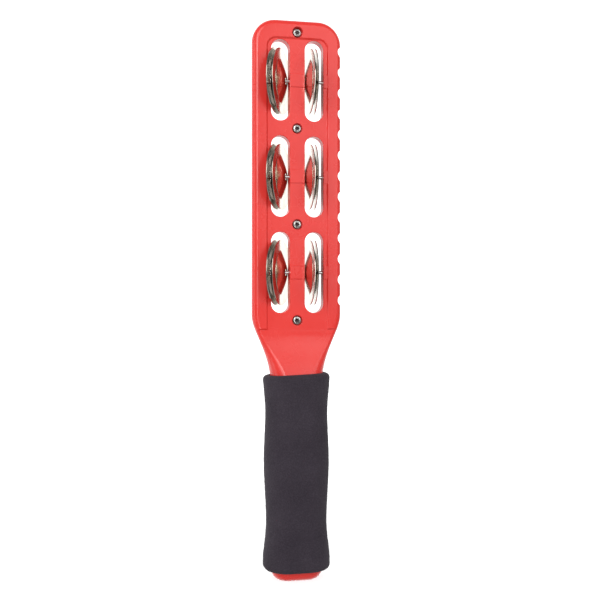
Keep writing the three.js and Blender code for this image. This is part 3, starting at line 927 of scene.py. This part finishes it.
# Depths are from the middle of the stick, and the front is negative.
HEAD_SEAT = -1.8
HEAD_FACE = -3.5
HEAD_RADIUS = 2.9
SOCKET_RADIUS = 1.7
SOCKET_LOBES = 6
SOCKET_LOBE_DEPTH = 0.13
SOCKET_FLOOR = -2.4
SHANK_RADIUS = 1.4
SHANK_END = 2.4
SHANK_TIP = 0.7
THREAD_PITCH = 0.75
THREAD_DEPTH = 0.3
THREAD_TURNS = 4
THREAD_START = 0.8
SCREW_GREY = (0.50, 0.49, 0.47, 1)
SCREW_SMEARED = (0.34, 0.33, 0.31, 1)
# Painted shade: the socket's near-black colour stands in for the shade deep in the recess.
SOCKET_PAINTED_SHADE = (0.05, 0.04, 0.04, 1)

screw_steel, screw_tree, screw_shader, screw_place = finish_of("screw steel", metallic=1.0)
screw_marks = marks_on(
    screw_tree, screw_place.outputs["Object"], smear_scale=260, scuff_scale=700, scuff_width=0.03
)
screw_smears = screw_marks.outputs["Smears"]
screw_parts = node(screw_tree, "ShaderNodeSeparateXYZ")
# Painted shade: the socket darkens from just below the head's face down to its floor, where shade falls in
# the recess.
socket_painted_shade = ranged(screw_tree, screw_parts.outputs["Y"], 0, 1, (HEAD_FACE + 0.25) * MM, SOCKET_FLOOR * MM)
screw_grey = blended(screw_tree, screw_smears, SCREW_GREY, SCREW_SMEARED)
linked(
    screw_tree,
    [
        (screw_place.outputs["Object"], screw_parts.inputs[0]),
        (ranged(screw_tree, screw_smears, 0.2, 0.34), screw_shader.inputs["Roughness"]),
        (blended(screw_tree, socket_painted_shade, screw_grey, SOCKET_PAINTED_SHADE), screw_shader.inputs["Base Color"]),
    ],
)

pan = smooth_line([(0, 0), (0.62, 0.01), (0.9, 0.17), (1, 0.5)], 6)
blank_line = [(HEAD_RADIUS * r, HEAD_FACE + (HEAD_SEAT - HEAD_FACE) * h) for r, h in pan]
blank_line += [(HEAD_RADIUS, HEAD_SEAT), (SHANK_RADIUS, HEAD_SEAT)]
for thread_turn in range(THREAD_TURNS):
    root = HEAD_SEAT + THREAD_START + THREAD_PITCH * thread_turn
    blank_line += [(SHANK_RADIUS, root), (SHANK_RADIUS - THREAD_DEPTH, root + THREAD_PITCH / 2)]
blank_line += [(SHANK_TIP, SHANK_END - 0.2), (0, SHANK_END)]
blank = turned("screw", blank_line, 48)
lobes = []
for a in round_angles(72):
    r = SOCKET_RADIUS * (1 - SOCKET_LOBE_DEPTH + SOCKET_LOBE_DEPTH * math.cos(SOCKET_LOBES * a))
    lobes.append((r * math.cos(a), r * math.sin(a)))
socket_levels = [(HEAD_FACE - 1, 1), (SOCKET_FLOOR, 1), (SOCKET_FLOOR + 0.25, 0.3)]
carve(blank, [skin("socket", [[(x * k, y, z * k) for x, z in lobes] for y, k in socket_levels])])
screws = row_of("screws", blank, SCREWS, 0, SCREW_TOP, ROW_PITCH, screw_steel)
smoothed(screws)
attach(screws, "stick")
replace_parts(screws, "screw_1", "screw_2", "screw_3", "screw_4")

# ---- Foam sleeve ----
# A sleeve of soft dark closed-cell foam, stretched over the handle, so that it swells and narrows a
# little along its length. It is cut off at both ends, a little out of square at the top.

FOAM_LOW = 7
FOAM_HIGH = 139.6
FOAM_ROUND = 3
FOAM_GAP = 0.3
FOAM_TOP_TIP = 0.8
FOAM_TIP_FROM = 120
BORE_FLAT = 0.1
FOAM_COLOUR = (0.026, 0.020, 0.028, 1)
FOAM_PALE = (0.054, 0.044, 0.057, 1)

# How far the sleeve stands out from the handle: [share of the sleeve's length, mm].
FOAM_WAVE = [(0, 5.3), (0.07, 5.35), (0.25, 3.3), (0.54, 4.9), (0.8, 3.85), (0.96, 5.3), (1, 5.25)]

# The heights of the rings that line its bore, from the top down.
BORE_HEIGHTS = [FOAM_HIGH, 137, 134, NECK_FOOT, 70, FOAM_LOW + 2.4, FOAM_LOW]

# Lumps in its surface: [height in mm, size in mm].
FOAM_LUMPS = [(0.14, 2.6), (0.07, 1.1)]

grip_foam, foam_tree, foam_shader, foam_place = finish_of("dark foam", ior=1.4)
foam_shader.inputs["Sheen Weight"].default_value = 0.04
foam_shader.inputs["Sheen Roughness"].default_value = 0.6
foam_shader.inputs["Specular IOR Level"].default_value = 0.2
cells = node(foam_tree, "ShaderNodeTexVoronoi", feature="SMOOTH_F1")
cells.inputs["Scale"].default_value = 1500
grain = noise_on(foam_tree, foam_place.outputs["Object"], 900, 5, 0.7)
patches = noise_on(foam_tree, foam_place.outputs["Object"], 45, 3)
cell_shade = ranged(foam_tree, cells.outputs["Distance"], 0, 0.55, 0.15, 0.7)
patch_shade = ranged(foam_tree, patches.outputs["Fac"], 0, 0.45, 0.3, 0.7)
foam_height = node(foam_tree, "ShaderNodeMath", operation="ADD")
foam_share = node(foam_tree, "ShaderNodeMath", operation="ADD")
linked(
    foam_tree,
    [
        (foam_place.outputs["Object"], cells.inputs["Vector"]),
        (cells.outputs["Distance"], foam_height.inputs[0]),
        (grain.outputs["Fac"], foam_height.inputs[1]),
        (cell_shade, foam_share.inputs[0]),
        (patch_shade, foam_share.inputs[1]),
        (blended(foam_tree, foam_share.outputs[0], FOAM_COLOUR, FOAM_PALE), foam_shader.inputs["Base Color"]),
        (ranged(foam_tree, grain.outputs["Fac"], 0.86, 1.0), foam_shader.inputs["Roughness"]),
    ],
)
bumped(foam_tree, foam_shader, foam_height.outputs[0], strength=0.55, distance=0.0003)

wave = np.array(smooth_line(FOAM_WAVE, 20))


def sleeve_out(z):
    """How far the sleeve stands out from the handle at a height."""
    return float(np.interp((z - FOAM_LOW) / (FOAM_HIGH - FOAM_LOW), wave[:, 0], wave[:, 1]))


def oval(half_x, half_y, corner, z, lumpy):
    """A rounded section at a height, lumpy or plain. Near the sleeve's top it tips with the cut."""
    ring = mirrored(arc(half_x - corner, half_y - corner, corner, 0, 90, 34))
    ring += [(-x, -y) for x, y in ring]
    tip = FOAM_TOP_TIP * max(0, (z - FOAM_TIP_FROM) / (FOAM_HIGH - FOAM_TIP_FROM)) ** 2
    rough = []
    for x, y in ring:
        spot = Vector((x, y, z))
        swell = sum(height * noise.noise(spot / size) for height, size in FOAM_LUMPS) if lumpy else 0
        k = 1 + swell / math.hypot(x, y)
        rough.append((x * k, y * k, z + tip * x / half_x))
    return rough


def sleeve_ring(z, drawn_in=0.0):
    """A ring of the sleeve's outside at a height."""
    out = sleeve_out(z) - drawn_in
    return oval(CORE_HALF + out, CORE_DEPTH + out, CORE_CORNER + out, z, True)


def bore_ring(z):
    """A ring of the sleeve's inside, which follows the handle."""
    depth, corner = core_section(z, FOAM_GAP)
    return oval(half_width(z) + FOAM_GAP, depth, min(corner, depth - BORE_FLAT), z, False)


ends = quarter_round(FOAM_ROUND, 6)
outside = [sleeve_ring(FOAM_LOW + up, drawn_in) for up, drawn_in in reversed(ends)]
middle = np.linspace(FOAM_LOW + FOAM_ROUND, FOAM_HIGH - FOAM_ROUND, 119)[1:-1]
outside += [sleeve_ring(z) for z in middle]
outside += [sleeve_ring(FOAM_HIGH - down, drawn_in) for down, drawn_in in ends]
inside = [bore_ring(z) for z in BORE_HEIGHTS]
sleeve = skin("foam_sleeve", [*outside, *inside], closed=True)
sleeve.data.materials.append(grip_foam)
smoothed(sleeve, 50)
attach(sleeve, "stick")
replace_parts(sleeve, "foam_grip")

# ---- Sizes ----
# The box round the finished model, leaving out the floor.

low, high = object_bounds()
